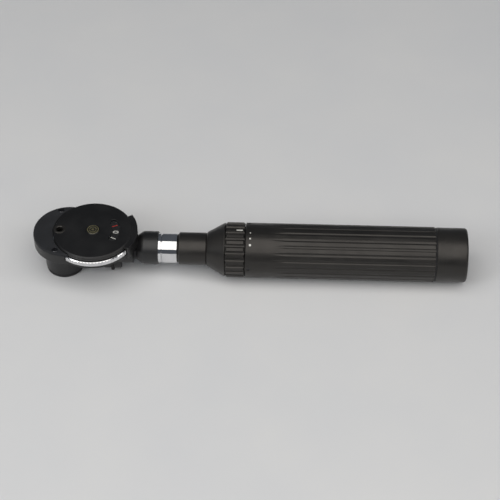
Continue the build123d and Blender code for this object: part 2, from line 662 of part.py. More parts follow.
# ---- head: lens wheel ----------------------------------------------------------------------------
HUB_RADIUS = 4.0
with BuildPart() as lens_wheel:
    revolve(upright_section(0, (PIVOT_RADIUS + FIT, WHEEL_LOW), (WHEEL_RADIUS, WHEEL_LOW),
                            (WHEEL_RADIUS, WHEEL_HIGH), (SCALE_RING[1], WHEEL_HIGH),
                            (SCALE_RING[1], SCALE_HIGH), (SCALE_RING[0], SCALE_HIGH),
                            (SCALE_RING[0], WHEEL_HIGH), (HUB_RADIUS, WHEEL_HIGH),
                            (HUB_RADIUS, WHEEL_HIGH + 0.2), (PIVOT_RADIUS + FIT, WHEEL_HIGH + 0.2)),
            axis=upright_axis(0))
    with BuildSketch(face_plane(WHEEL_LOW)):
        with PolarLocations(STATION_RADIUS, STATIONS):
            Circle(LENS_RADIUS)
    extrude(amount=WHEEL_HIGH - WHEEL_LOW, mode=Mode.SUBTRACT)
    # lightening pockets from below
    with BuildSketch(face_plane(WHEEL_LOW)):
        with PolarLocations(10.2, 8, start_angle=22.5):
            Circle(3.0)
    extrude(amount=2.4, mode=Mode.SUBTRACT)
lens_wheel.part.label = "lens_wheel"
export_step(lens_wheel.part, "parts/lens_wheel.step")

with BuildPart() as wheel_rim:
    revolve(upright_section(0, (WHEEL_RADIUS, WHEEL_LOW), (RIM_RADIUS - 0.4, WHEEL_LOW),
                            (RIM_RADIUS, WHEEL_LOW + 0.4), (RIM_RADIUS, WHEEL_HIGH - 0.4),
                            (RIM_RADIUS - 0.4, WHEEL_HIGH), (WHEEL_RADIUS, WHEEL_HIGH)),
            axis=upright_axis(0))
    with BuildSketch(face_plane(WHEEL_LOW)):
        with PolarLocations(RIM_RADIUS + 0.35, RIM_NOTCHES):
            Circle(0.62)
    extrude(amount=WHEEL_HIGH - WHEEL_LOW, mode=Mode.SUBTRACT)
wheel_rim.part.label = "wheel_rim"
export_step(wheel_rim.part, "parts/wheel_rim.step")

LENS_MIDDLE = (WHEEL_LOW + WHEEL_HIGH) / 2
LENS_EDGE = 0.9              # thickness at the edge
LENS_CURVE = 0.055           # crown height for each step of power


def wheel_lens(step):
    """One lens of the wheel at its station: plus powers bulge, minus powers are hollow."""
    turn = radians(step * 360 / STATIONS)
    place = (WHEEL_X - STATION_RADIUS * cos(turn), -STATION_RADIUS * sin(turn), AXIS_Z + LENS_MIDDLE)
    power = -step if step < STATIONS / 2 else STATIONS - step
    crown = LENS_EDGE / 2 + LENS_CURVE * power
    edge = LENS_RADIUS
    with BuildPart(mode=Mode.PRIVATE) as lens:
        with BuildSketch(Plane(origin=place, x_dir=(1, 0, 0), z_dir=(0, -1, 0))):
            with BuildLine():
                Polyline((0, crown), (0, -LENS_EDGE / 2), (edge, -LENS_EDGE / 2), (edge, LENS_EDGE / 2))
                TangentArc((0, crown), (edge, LENS_EDGE / 2), tangent=(1, 0))
            make_face()
        revolve(axis=Axis(place, (0, 0, 1)))
    return lens.part


with BuildPart() as wheel_lenses:
    for step in range(1, STATIONS):
        add(wheel_lens(step))
wheel_lenses.part.label = "wheel_lenses"
export_step(wheel_lenses.part, "parts/wheel_lenses.step")

with BuildPart() as wheel_washer:
    revolve(upright_section(0, (PIVOT_RADIUS + FIT, PAN_HIGH), (HUB_RADIUS, PAN_HIGH),
                            (HUB_RADIUS, WHEEL_LOW - FIT), (PIVOT_RADIUS + FIT, WHEEL_LOW - FIT)),
            axis=upright_axis(0))
wheel_washer.part.label = "wheel_washer"
export_step(wheel_washer.part, "parts/wheel_washer.step")

# ---- head: face plate, pivot and what sits in the plate ------------------------------------------
SCREW_RECESS = 3.8
RECESS_FLOOR = 11.5
EYELET_RADIUS = 2.7
SIGHT_RADIUS = 1.8
with BuildPart() as face_plate:
    with BuildSketch(face_plane(PLATE_LOW)):
        Circle(PLATE_RADIUS)
    extrude(amount=PLATE_HIGH - PLATE_LOW)
    chamfer(face_plate.faces().sort_by(Axis.Z)[-1].edges(), 0.7)
    # lower step that covers the wheel's rim above the neck
    extrude(lip_sector(PLATE_LOW, PLATE_RADIUS - 2, LIP_RADIUS), amount=STEP_HIGH - PLATE_LOW)
    extrude(lip_sector(PLATE_LOW, LIP_INNER, LIP_RADIUS, KEY_HALF_ANGLE + 0.3), amount=1.1,
            mode=Mode.SUBTRACT)
    # channel for the wheel's numbered ring
    with BuildSketch(face_plane(PLATE_LOW)):
        Circle(SCALE_RING[1] + 0.3)
        Circle(SCALE_RING[0] - 0.3, mode=Mode.SUBTRACT)
    extrude(amount=SCALE_HIGH + RUN - PLATE_LOW, mode=Mode.SUBTRACT)
    with BuildSketch(face_plane(PLATE_LOW)):
        Circle(PIVOT_RADIUS + FIT)
        with Locations((STATION_RADIUS, 0)):
            Circle(EYELET_RADIUS)
        SlotArc(SCALE_ARC, SCALE_WIDTH)
    extrude(amount=PLATE_HIGH - PLATE_LOW, mode=Mode.SUBTRACT)
    with BuildSketch(face_plane(RECESS_FLOOR)):
        Circle(SCREW_RECESS)
    extrude(amount=PLATE_HIGH - RECESS_FLOOR, mode=Mode.SUBTRACT)
face_plate.part.label = "face_plate"
export_step(face_plate.part, "parts/face_plate.step")

with BuildPart() as sight_eyelet:
    revolve(upright_section(STATION_RADIUS, (SIGHT_RADIUS, PLATE_LOW + 0.1),
                            (EYELET_RADIUS, PLATE_LOW + 0.1), (EYELET_RADIUS, PLATE_HIGH),
                            (EYELET_RADIUS + 0.7, PLATE_HIGH),
                            (EYELET_RADIUS + 0.4, PLATE_HIGH + 0.3),
                            (SIGHT_RADIUS + 0.4, PLATE_HIGH + 0.3),
                            (SIGHT_RADIUS, PLATE_HIGH - 0.1)), axis=upright_axis(STATION_RADIUS))
sight_eyelet.part.label = "sight_eyelet"
export_step(sight_eyelet.part, "parts/sight_eyelet.step")

with BuildPart() as scale_window:
    with BuildSketch(face_plane(WINDOW_LOW)):
        SlotArc(SCALE_ARC, SCALE_WIDTH - 0.04)
    extrude(amount=1.0)
scale_window.part.label = "scale_window"
export_step(scale_window.part, "parts/scale_window.step")

with BuildPart() as pivot_post:
    revolve(upright_section(0, (0.85, 8.0), (0.85, RECESS_FLOOR - 0.1), (PIVOT_RADIUS, RECESS_FLOOR - 0.1),
                            (PIVOT_RADIUS, PAN_LOW), (0, PAN_LOW), (0, 8.0)), axis=upright_axis(0))
pivot_post.part.label = "pivot_post"
export_step(pivot_post.part, "parts/pivot_post.step")

SCREW_HEAD_RADIUS = 3.6
with BuildPart() as pivot_screw:
    revolve(upright_section(0, (0, 8.3), (0.8, 8.3), (0.8, RECESS_FLOOR),
                            (SCREW_HEAD_RADIUS, RECESS_FLOOR), (SCREW_HEAD_RADIUS, PLATE_HIGH),
                            (SCREW_HEAD_RADIUS - 0.4, PLATE_HIGH + 0.4), (0, PLATE_HIGH + 0.4)),
            axis=upright_axis(0))
    # two holes for a pin spanner and a turned ring between them
    with BuildSketch(face_plane(PLATE_HIGH + 0.4)):
        with PolarLocations(2.2, 2):
            Circle(0.45)
    extrude(amount=-0.8, mode=Mode.SUBTRACT)
    with BuildSketch(face_plane(PLATE_HIGH + 0.4)):
        Circle(1.5)
        Circle(1.2, mode=Mode.SUBTRACT)
    extrude(amount=-0.2, mode=Mode.SUBTRACT)
pivot_screw.part.label = "pivot_screw"
export_step(pivot_screw.part, "parts/pivot_screw.step")

# ---- head: brow rest and click stop --------------------------------------------------------------
BROW_HOLE = 1.7
with BuildPart() as brow_rest:
    extrude(crescent(WALL_TOP, 0.1, PLATE_RADIUS + 0.25), amount=BROW_HIGH - WALL_TOP)
    fillet(brow_rest.faces().sort_by(Axis.Z)[-1].edges(), 0.6)
    with BuildSketch(face_plane(WALL_TOP)):
        with Locations(*BROW_SCREWS):
            Circle(SCREW_CORE + 0.1)
    extrude(amount=BROW_HIGH - WALL_TOP, mode=Mode.SUBTRACT)
    with BuildSketch(face_plane(BROW_HIGH - 0.8)):
        with Locations(*BROW_SCREWS):
            Circle(BROW_HOLE)
    extrude(amount=0.8, mode=Mode.SUBTRACT)
brow_rest.part.label = "brow_rest"
export_step(brow_rest.part, "parts/brow_rest.step")

with BuildPart() as brow_screws:
    for h, radius, height in ((WALL_TOP - 3.5, SCREW_CORE, BROW_HIGH - 0.8 - WALL_TOP + 3.5),
                              (BROW_HIGH - 0.8, BROW_HOLE - 0.1, 0.9)):
        with BuildSketch(face_plane(h)):
            with Locations(*BROW_SCREWS):
                Circle(radius)
        extrude(amount=height)
    chamfer(brow_screws.faces().sort_by(Axis.Z)[-2:].edges(), 0.25)
    with BuildSketch(face_plane(BROW_HIGH + 0.1)):
        with Locations(*BROW_SCREWS):
            Rectangle(0.45, 2.4)
            Rectangle(2.4, 0.45)
    extrude(amount=-0.5, mode=Mode.SUBTRACT)
brow_screws.part.label = "brow_screws"
export_step(brow_screws.part, "parts/brow_screws.step")

BALL_RADIUS = 1.3
BALL_A = RIM_RADIUS + RUN + BALL_RADIUS
with BuildPart() as detent_ball:
    with Locations((WHEEL_X - BALL_A, 0, AXIS_Z + DETENT_H)):
        Sphere(BALL_RADIUS)
detent_ball.part.label = "detent_ball"
export_step(detent_ball.part, "parts/detent_ball.step")

PLUG_A = 29.0
with BuildPart() as detent_spring:
    add(spring((WHEEL_X - BALL_A - BALL_RADIUS - 0.2, 0, AXIS_Z + DETENT_H), (-1, 0, 0),
               PLUG_A - BALL_A - BALL_RADIUS - 0.5, 5, 1.1, 0.16))
detent_spring.part.label = "detent_spring"
export_step(detent_spring.part, "parts/detent_spring.step")

with BuildPart() as detent_plug:
    with BuildSketch(across(s_of(PLUG_A))):
        with Locations((0, DETENT_H)):
            Circle(DETENT_HOLE)
    extrude(amount=-(BROW_A - PLUG_A - 0.6))
    with BuildSketch(across(s_of(BROW_A - 0.6))):
        with Locations((0, DETENT_H)):
            RegularPolygon(0.8, 6)
    extrude(amount=1.4, mode=Mode.SUBTRACT)
detent_plug.part.label = "detent_plug"
export_step(detent_plug.part, "parts/detent_plug.step")

# ---- head: optics cover on the patient side ------------------------------------------------------
CAVITY_STRETCHES = [(TROUGH_START_A, -18.2), (-16.6, BULGE_A[0]), (-3.5, 0.5), (2.5, TURRET_A)]
TUBE_HOLE = 4.35
BEAM_RADIUS = 3.6
SLOT_A = (DISC_A - DISC_SLOT / 2, DISC_A + DISC_SLOT / 2)


def trough_round(a_from, a_to, radius):
    """Half section of a round bar about the long axis between two places in the head."""
    return ring_section(s_of(a_to), s_of(a_from), 0, radius)


def disc_round(a_from, a_to, radius):
    """Solid round bar about the aperture disc's axle."""
    with BuildPart(mode=Mode.PRIVATE) as bar:
        with BuildSketch(across(s_of(a_to))):
            with Locations((0, DISC_H)):
                Circle(radius)
        extrude(amount=a_to - a_from)
    return bar.part


with BuildPart() as optics_cover:
    revolve(trough_round(TROUGH_START_A, TROUGH_END_A, TROUGH_RADIUS), axis=LONG_AXIS)
    with BuildSketch(face_plane(TURRET_LOW)):
        with Locations((TURRET_A, 0)):
            Circle(TURRET_RADIUS)
    extrude(amount=PAN_LOW - TURRET_LOW)
    add(disc_round(*BULGE_A, BULGE_RADIUS))
    with BuildSketch(face_plane(FLANGE_LOW)):
        with Locations(*[(a, 0) for a in FLANGE_A]):
            SlotCenterToCenter(2 * FLANGE_P, 5.0, rotation=90)
    extrude(amount=PAN_LOW - FLANGE_LOW)
    with BuildSketch(face_plane(PAN_LOW)):
        Circle(2 * PLATE_RADIUS)
    extrude(amount=PAN_LOW, mode=Mode.SUBTRACT)
    # cavities, with ribs left standing round the lens tubes
    for a_from, a_to in CAVITY_STRETCHES:
        revolve(trough_round(a_from, a_to, TROUGH_BORE), axis=LONG_AXIS, mode=Mode.SUBTRACT)
    revolve(trough_round(TROUGH_START_A, BULGE_A[0], TUBE_HOLE), axis=LONG_AXIS,
            mode=Mode.SUBTRACT)
    revolve(trough_round(BULGE_A[0], BULGE_A[1], BEAM_RADIUS), axis=LONG_AXIS, mode=Mode.SUBTRACT)
    revolve(trough_round(BULGE_A[1], TURRET_A, TUBE_HOLE), axis=LONG_AXIS, mode=Mode.SUBTRACT)
    with BuildSketch(face_plane(TURRET_FLOOR)):
        with Locations((TURRET_A, 0)):
            Circle(TURRET_BORE)
    extrude(amount=PAN_LOW - TURRET_FLOOR, mode=Mode.SUBTRACT)
    with BuildSketch(face_plane(TURRET_LOW)):
        with Locations((TURRET_A, 0)):
            Circle(WINDOW_HOLE)
        with Locations(*COVER_SCREWS):
            Circle(SCREW_CORE + 0.1)
    extrude(amount=PAN_LOW - TURRET_LOW, mode=Mode.SUBTRACT)
    # slot and axle hole of the aperture disc
    add(disc_round(*SLOT_A, DISC_RADIUS + 0.3), mode=Mode.SUBTRACT)
    add(disc_round(BULGE_A[0], BULGE_A[1] - 0.7, 1.0), mode=Mode.SUBTRACT)
optics_cover.part.label = "optics_cover"
export_step(optics_cover.part, "parts/optics_cover.step")

with BuildPart() as cover_screws:
    for h, radius, height in ((FLANGE_LOW - 1.1, 1.8, 1.1), (FLANGE_LOW, SCREW_CORE, 2.7)):
        with BuildSketch(face_plane(h)):
            with Locations(*COVER_SCREWS):
                Circle(radius)
        extrude(amount=height)
    chamfer(cover_screws.faces().sort_by(Axis.Z)[:4].edges(), 0.3)
    with BuildSketch(face_plane(FLANGE_LOW - 1.1)):
        with Locations(*COVER_SCREWS):
            Rectangle(0.5, 2.6)
            Rectangle(2.6, 0.5)
    extrude(amount=0.6, mode=Mode.SUBTRACT)
cover_screws.part.label = "cover_screws"
export_step(cover_screws.part, "parts/cover_screws.step")

with BuildPart() as window_bezel:
    revolve(upright_section(TURRET_A, (BEZEL_BORE, -AXIS_Z), (BEZEL_RADIUS, -AXIS_Z),
                            (BEZEL_RADIUS, TURRET_LOW), (BEZEL_BORE, TURRET_LOW)),
            axis=upright_axis(TURRET_A))
    fillet(window_bezel.faces().sort_by(Axis.Z)[0].edges(), 0.8)
window_bezel.part.label = "window_bezel"
export_step(window_bezel.part, "parts/window_bezel.step")

with BuildPart() as patient_window:
    revolve(upright_section(TURRET_A, (0, TURRET_FLOOR), (WINDOW_RADIUS, TURRET_FLOOR),
                            (WINDOW_RADIUS, TURRET_FLOOR + 1.2), (0, TURRET_FLOOR + 1.2)),
            axis=upright_axis(TURRET_A))
patient_window.part.label = "patient_window"
export_step(patient_window.part, "parts/patient_window.step")

# ---- head: optics --------------------------------------------------------------------------------
MIRROR_PLANE = Plane(origin=(WHEEL_X - MIRROR_A, 0, AXIS_Z), x_dir=(0, 1, 0), z_dir=(-1, 0, 1))
with BuildPart() as mirror:
    with BuildSketch(MIRROR_PLANE):
        Rectangle(MIRROR_WIDTH, MIRROR_LENGTH)
    extrude(amount=MIRROR_THICKNESS)
mirror.part.label = "mirror"
export_step(mirror.part, "parts/mirror.step")

HALF_RUN = MIRROR_LENGTH / 2 * cos(radians(45))
BACK_A = MIRROR_A + MIRROR_THICKNESS * cos(radians(45))
BACK_H = MIRROR_THICKNESS * sin(radians(45))
with BuildPart() as mirror_mount:
    with BuildSketch(HEAD_SECTION):
        with BuildLine():
            Polyline((BACK_A - (PAN_LOW - BACK_H), PAN_LOW), (BACK_A + HALF_RUN, BACK_H - HALF_RUN),
                     (BACK_A + HALF_RUN + 0.2, BACK_H - HALF_RUN), (BACK_A + HALF_RUN + 0.2, PAN_LOW),
                     close=True)
        make_face()
    extrude(amount=MIRROR_WIDTH / 2, both=True)
mirror_mount.part.label = "mirror_mount"
export_step(mirror_mount.part, "parts/mirror_mount.step")


def biconvex(a, radius, edge, crown):
    """Half section of a lens on the long axis: two arcs and a flat edge."""
    middle = s_of(a)
    with BuildSketch(SECTION, mode=Mode.PRIVATE) as outline:
        with BuildLine():
            Line((middle - edge / 2 - crown, 0), (middle + edge / 2 + crown, 0))
            TangentArc((middle + edge / 2 + crown, 0), (middle + edge / 2, radius), tangent=(0, 1))
            Line((middle + edge / 2, radius), (middle - edge / 2, radius))
            TangentArc((middle - edge / 2 - crown, 0), (middle - edge / 2, radius), tangent=(0, 1))
        make_face()
    return outline.sketch


with BuildPart() as objective_lens:
    revolve(biconvex(0.0, 3.6, 1.0, 0.5), axis=LONG_AXIS)
objective_lens.part.label = "objective_lens"
export_step(objective_lens.part, "parts/objective_lens.step")

with BuildPart() as objective_tube:
    revolve(ring_section(s_of(4.0), s_of(BULGE_A[1] + 0.2), 3.6, TUBE_HOLE - FIT), axis=LONG_AXIS)
objective_tube.part.label = "objective_tube"
export_step(objective_tube.part, "parts/objective_tube.step")

with BuildPart() as condenser_lens:
    revolve(biconvex(-19.0, 3.7, 1.2, 0.8), axis=LONG_AXIS)
condenser_lens.part.label = "condenser_lens"
export_step(condenser_lens.part, "parts/condenser_lens.step")

with BuildPart() as condenser_tube:
    revolve(ring_section(s_of(BULGE_A[0] - 0.1), s_of(-31.0), 3.7, TUBE_HOLE - FIT), axis=LONG_AXIS)
condenser_tube.part.label = "condenser_tube"
export_step(condenser_tube.part, "parts/condenser_tube.step")

# ---- head: aperture disc -------------------------------------------------------------------------
AXLE_RADIUS = 1.0
FILTER_STATION = 5
FILTER_RADIUS = 1.2
# hole radius of each round aperture, from its number round the disc; the last is the filter's
APERTURES = {0: 1.2, 1: 0.8, 2: 0.45, FILTER_STATION: FILTER_RADIUS}
with BuildPart() as aperture_wheel:
    with BuildSketch(across(s_of(DISC_A + DISC_THICKNESS / 2))):
        with Locations((0, DISC_H)):
            Circle(DISC_RADIUS)
            with PolarLocations(DISC_RADIUS + 0.15, 36, start_angle=95):
                Circle(0.35, mode=Mode.SUBTRACT)
            Circle(AXLE_RADIUS + FIT, mode=Mode.SUBTRACT)
            for station, radius in APERTURES.items():
                turn = 90 + station * 360 / DISC_STATIONS
                with PolarLocations(-DISC_H, 1, start_angle=turn):
                    Circle(radius, mode=Mode.SUBTRACT)
            # slit
            with PolarLocations(-DISC_H, 1, start_angle=90 + 3 * 360 / DISC_STATIONS):
                Rectangle(0.4, 2.2, mode=Mode.SUBTRACT)
            # half moon
            with PolarLocations(-DISC_H, 1, start_angle=90 + 4 * 360 / DISC_STATIONS):
                SlotOverall(2.4, 0.9, rotation=90, mode=Mode.SUBTRACT)
    extrude(amount=DISC_THICKNESS)
aperture_wheel.part.label = "aperture_wheel"
export_step(aperture_wheel.part, "parts/aperture_wheel.step")

with BuildPart() as green_filter:
    with BuildSketch(across(s_of(DISC_A + DISC_THICKNESS / 2 - 0.1))):
        with Locations((0, DISC_H)):
            with PolarLocations(-DISC_H, 1, start_angle=90 + FILTER_STATION * 360 / DISC_STATIONS):
                Circle(FILTER_RADIUS)
    extrude(amount=DISC_THICKNESS - 0.2)
green_filter.part.label = "green_filter"
export_step(green_filter.part, "parts/green_filter.step")

with BuildPart() as aperture_axle:
    add(disc_round(BULGE_A[0] + 0.1, BULGE_A[1] - 0.8, AXLE_RADIUS))
aperture_axle.part.label = "aperture_axle"
export_step(aperture_axle.part, "parts/aperture_axle.step")
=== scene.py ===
from math import cos, pi, radians, sin

import bmesh
import bpy
from mathutils import Matrix, Vector


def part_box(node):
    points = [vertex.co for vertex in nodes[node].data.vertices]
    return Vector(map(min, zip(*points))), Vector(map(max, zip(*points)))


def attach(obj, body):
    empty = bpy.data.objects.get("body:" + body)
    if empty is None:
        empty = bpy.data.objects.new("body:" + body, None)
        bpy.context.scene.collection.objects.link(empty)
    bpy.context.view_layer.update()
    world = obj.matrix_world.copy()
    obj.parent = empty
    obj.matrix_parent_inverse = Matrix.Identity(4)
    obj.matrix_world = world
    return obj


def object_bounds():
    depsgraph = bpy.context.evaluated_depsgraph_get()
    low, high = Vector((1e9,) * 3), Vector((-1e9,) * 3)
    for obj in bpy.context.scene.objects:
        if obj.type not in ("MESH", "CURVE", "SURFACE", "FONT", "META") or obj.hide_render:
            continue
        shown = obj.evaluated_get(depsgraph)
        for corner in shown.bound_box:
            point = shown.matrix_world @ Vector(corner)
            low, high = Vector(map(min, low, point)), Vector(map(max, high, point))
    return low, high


# Ophthalmoscope on its handle: finishes for the CAD nodes, the printed marks, the floor, the
# lights and the camera.  Metres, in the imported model's frame.
MM = 0.001

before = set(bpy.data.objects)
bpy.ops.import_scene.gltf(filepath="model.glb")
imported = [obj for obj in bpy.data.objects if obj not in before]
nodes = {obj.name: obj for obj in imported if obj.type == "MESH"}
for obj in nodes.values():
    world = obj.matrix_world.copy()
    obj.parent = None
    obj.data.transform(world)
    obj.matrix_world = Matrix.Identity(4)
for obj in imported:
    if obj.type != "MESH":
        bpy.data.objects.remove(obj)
bpy.context.view_layer.update()
cad_low, cad_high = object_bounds()

# ---- places that the finishes and marks need -----------------------------------------------------
barrel_low, barrel_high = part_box("barrel")
AXIS_Z = (barrel_low.z + barrel_high.z) / 2
GRIP_RADIUS = (barrel_high.z - barrel_low.z) / 2
wheel_low, wheel_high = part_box("lens_wheel")
WHEEL_CENTRE = Vector(((wheel_low.x + wheel_high.x) / 2, 0, wheel_high.z))
ring_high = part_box("brightness_ring")[1]

# ---- material building ---------------------------------------------------------------------------


class Look:
    """One procedural finish: a Principled shader and the texture nodes that feed it."""

    def __init__(self, name, colour, roughness, metallic=0.0, **constants):
        self.material = bpy.data.materials.new(name)
        self.material.use_nodes = True
        tree = self.material.node_tree
        self.nodes = tree.nodes
        self.links = tree.links
        self.nodes.clear()
        self.output = self.nodes.new("ShaderNodeOutputMaterial")
        self.shader = self.nodes.new("ShaderNodeBsdfPrincipled")
        self.links.new(self.shader.outputs["BSDF"], self.output.inputs["Surface"])
        self.place = self.nodes.new("ShaderNodeTexCoord").outputs["Object"]
        self.colour = (*colour, 1)
        self.roughness = roughness
        self.shader.inputs["Base Color"].default_value = self.colour
        self.shader.inputs["Roughness"].default_value = roughness
        self.shader.inputs["Metallic"].default_value = metallic
        for socket, value in constants.items():
            self.shader.inputs[socket.replace("_", " ")].default_value = value
        self.normal = None

    def feed(self, socket, value):
        """Link a socket, or set a constant on the input."""
        if isinstance(value, bpy.types.NodeSocket):
            self.links.new(value, socket)
        else:
            socket.default_value = value

    def node(self, kind, inputs=(), **settings):
        """New node with its settings and its inputs, which are (name or number, value) pairs."""
        made = self.nodes.new("ShaderNode" + kind)
        for key, value in settings.items():
            setattr(made, key, value)
        for key, value in inputs:
            self.feed(made.inputs[key], value)
        return made

    def math(self, operation, first, second=0.0):
        return self.node("Math", ((0, first), (1, second)), operation=operation).outputs[0]

    def spread(self, value, low, high, to_low, to_high):
        """Map the range low..high of a value to to_low..to_high, clamped."""
        pairs = (("Value", value), ("From Min", low), ("From Max", high),
                 ("To Min", to_low), ("To Max", to_high))
        return self.node("MapRange", pairs).outputs["Result"]

    def blend(self, factor, first, second):
        """Mix two colours by a factor."""
        return self.node("Mix", ((0, factor), (6, first), (7, second)), data_type="RGBA").outputs[2]

    def noise(self, size, stretch=(1, 1, 1), detail=3.0, shift=0.0, turn=0.0):
        """Noise with features about size metres across, longer where stretch is under 1.

        The stretched directions can be turned about the upright axis."""
        turned = self.node("VectorRotate", (("Vector", self.place), ("Angle", turn)),
                           rotation_type="Z_AXIS").outputs[0]
        place = self.node("Mapping", (("Vector", turned), ("Location", (shift, shift, shift)),
                                      ("Scale", [part / size for part in stretch])))
        pairs = (("Vector", place.outputs[0]), ("Scale", 1.0), ("Detail", detail))
        return self.node("TexNoise", pairs).outputs[0]

    def pebbles(self, size):
        """Distance field of small cells, for moulded grain."""
        place = self.node("Mapping", (("Vector", self.place), ("Scale", (1 / size,) * 3)))
        pairs = (("Vector", place.outputs[0]), ("Scale", 1.0))
        return self.node("TexVoronoi", pairs, feature="SMOOTH_F1").outputs["Distance"]

    def axis_parts(self, centre):
        """x, y and z of the place, measured from a centre."""
        shifted = self.node("VectorMath", ((0, self.place), (1, centre)), operation="SUBTRACT")
        return self.node("SeparateXYZ", ((0, shifted.outputs[0]),)).outputs

    def reach(self, first, second):
        """Length of the hypotenuse of two values."""
        squares = self.math("ADD", self.math("POWER", self.math("ABSOLUTE", first), 2.0),
                            self.math("POWER", self.math("ABSOLUTE", second), 2.0))
        return self.math("SQRT", squares)

    def edges(self, radius):
        """Mask of the sharp edges: 1 on an edge, 0 further than the radius from one."""
        soft = self.node("Bevel", (("Radius", radius),), samples=6).outputs["Normal"]
        plain = self.node("NewGeometry").outputs["Normal"]
        along = self.node("VectorMath", ((0, soft), (1, plain)), operation="DOT_PRODUCT")
        return self.spread(along.outputs["Value"], 0.99, 0.85, 0.0, 1.0)

    def soften(self, radius):
        """Round the sharp edges in the shading by a small radius."""
        self.normal = self.node("Bevel", (("Radius", radius),), samples=6).outputs["Normal"]

    def bump(self, height, depth):
        """Add relief: a 0 to 1 height field, depth metres deep."""
        pairs = [("Height", height), ("Distance", depth)]
        if self.normal is not None:
            pairs.append(("Normal", self.normal))
        self.normal = self.node("Bump", pairs).outputs["Normal"]

    def done(self, colour=None, roughness=None):
        """Connect what has been built to the shader and return the material."""
        if colour is not None:
            self.feed(self.shader.inputs["Base Color"], colour)
        if roughness is not None:
            self.feed(self.shader.inputs["Roughness"], roughness)
        if self.normal is not None:
            self.feed(self.shader.inputs["Normal"], self.normal)
        return self.material


def tone(colour, factor):
    """The colour, darker or lighter, with full alpha."""
    return (*[min(part * factor, 1.0) for part in colour[:3]], 1)


ALONG = (0.03, 1, 1)             # streaks that run along the long axis
ROUND = (1, 0.03, 0.03)          # turning marks round the long axis
HAIRLINE = (0.025, 1, 1)         # long fine scratches


def anodised(name, lines):
    """Black anodised aluminium with fine machining lines and lighter edges, partly rubbed wear and
    partly a painted highlight.
    """
    base = (0.0125, 0.012, 0.0115)
    look = Look(name, base, 0.36, Specular_IOR_Level=0.5, Specular_Tint=(1, 0.95, 0.9, 1))
    look.soften(0.18 * MM)
    wide = look.noise(22 * MM, detail=4)
    hands = look.noise(9 * MM, detail=5, shift=3.1)
    fine = look.noise(0.22 * MM, lines, detail=2)
    grain = look.noise(0.12 * MM, detail=1, shift=7.7)
    # Lighter edges: patchy rubbed wear plus a painted highlight along every sharp edge and flute
    # ridge.
    pale_edges = look.math("MULTIPLY", look.edges(0.3 * MM),
                     look.spread(look.noise(4 * MM, detail=6, shift=1.7), 0.42, 0.62, 0.1, 1.0))
    body = look.blend(look.spread(wide, 0.35, 0.65, 0, 1), tone(base, 0.8), tone(base, 1.3))
    body = look.blend(look.spread(fine, 0.3, 0.7, 0, 0.35), body, tone(base, 2.0))
    body = look.blend(pale_edges, body, (0.06, 0.057, 0.053, 1))
    rough = look.math("ADD", look.spread(hands, 0.35, 0.65, 0.3, 0.44),
                      look.spread(fine, 0.3, 0.7, -0.03, 0.05))
    look.bump(fine, 0.012 * MM)
    look.bump(grain, 0.006 * MM)
    return look.done(body, rough)


def enamel(name, base, roughness, grain_size, grain_depth, coat=0.0, scuffs=0.25):
    """Sprayed or moulded black skin: faint orange peel or grain, finger haze and fine scuffs."""
    look = Look(name, base, roughness, Coat_Weight=coat, Coat_Roughness=0.22)
    look.soften(0.2 * MM)
    haze = look.noise(12 * MM, detail=5, shift=2.3)
    grain = look.noise(grain_size, detail=2)
    hair = look.math("MAXIMUM", look.noise(0.2 * MM, HAIRLINE, detail=1, shift=5.1, turn=0.6),
                     look.noise(0.2 * MM, HAIRLINE, detail=1, shift=9.4, turn=2.5))
    marks = look.math("MULTIPLY", look.spread(hair, 0.68, 0.8, 0, 1),
                      look.spread(look.noise(6 * MM, detail=3, shift=4.4), 0.45, 0.65, 0, scuffs))
    pale_edges = look.math("MULTIPLY", look.edges(0.28 * MM),
                     look.spread(look.noise(3 * MM, detail=6, shift=6.6), 0.45, 0.62, 0.05, 0.8))
    body = look.blend(look.spread(haze, 0.35, 0.65, 0, 1), tone(base, 0.85), tone(base, 1.2))
    body = look.blend(look.math("MAXIMUM", pale_edges, marks), body, (0.07, 0.07, 0.07, 1))
    rough = look.math("ADD", look.spread(haze, 0.35, 0.65, roughness - 0.06, roughness + 0.07),
                      look.math("MULTIPLY", marks, 0.2))
    look.bump(grain, grain_depth)
    return look.done(body, rough)


def rubber(name, base, grain_size):
    """Matt moulded rubber with a pebble grain and a little dust."""
    look = Look(name, base, 0.78, Specular_IOR_Level=0.35, Sheen_Weight=0.06)
    look.soften(0.2 * MM)
    cells = look.pebbles(grain_size)
    dust = look.noise(5 * MM, detail=6)
    body = look.blend(look.spread(dust, 0.45, 0.7, 0, 0.5), (*base, 1), tone(base, 1.9))
    body = look.blend(look.spread(cells, 0.0, 0.5, 0.35, 0), body, tone(base, 1.5))
    look.bump(cells, 0.06 * MM)
    look.bump(look.noise(0.1 * MM, detail=2), 0.01 * MM)
    return look.done(body, look.spread(dust, 0.35, 0.7, 0.68, 0.88))


def metal(name, base, low, high, lines=(1, 1, 1), line_depth=0.004, tarnish=0.0, tint=None):
    """Plated or bare metal: roughness between low and high, machining lines and tarnish."""
    look = Look(name, base, low, metallic=1.0)
    look.soften(0.12 * MM)
    smudge = look.noise(5 * MM, detail=5)
    fine = look.noise(0.2 * MM, lines, detail=2, shift=3.3)
    hair = look.noise(0.3 * MM, (0.05, 1, 1), detail=2, shift=8.2)
    marks = look.spread(hair, 0.66, 0.74, 0, 0.5)
    stain = look.spread(look.noise(3 * MM, detail=6, shift=5.5), 0.5, 0.75, 0, tarnish)
    body = look.blend(look.spread(smudge, 0.35, 0.65, 0, 1), (*base, 1), tone(base, 0.9))
    body = look.blend(stain, body, tint or tone(base, 0.45))
    rough = look.math("ADD", look.spread(smudge, 0.35, 0.68, low, high),
                      look.math("MULTIPLY", marks, 0.12))
    look.bump(fine, line_depth * MM)
    return look.done(body, rough)


GOLD_RINGS = ((2.7 * MM, 3.2 * MM), (1.6 * MM, 2.1 * MM))
GOLD_DOT = 0.75 * MM


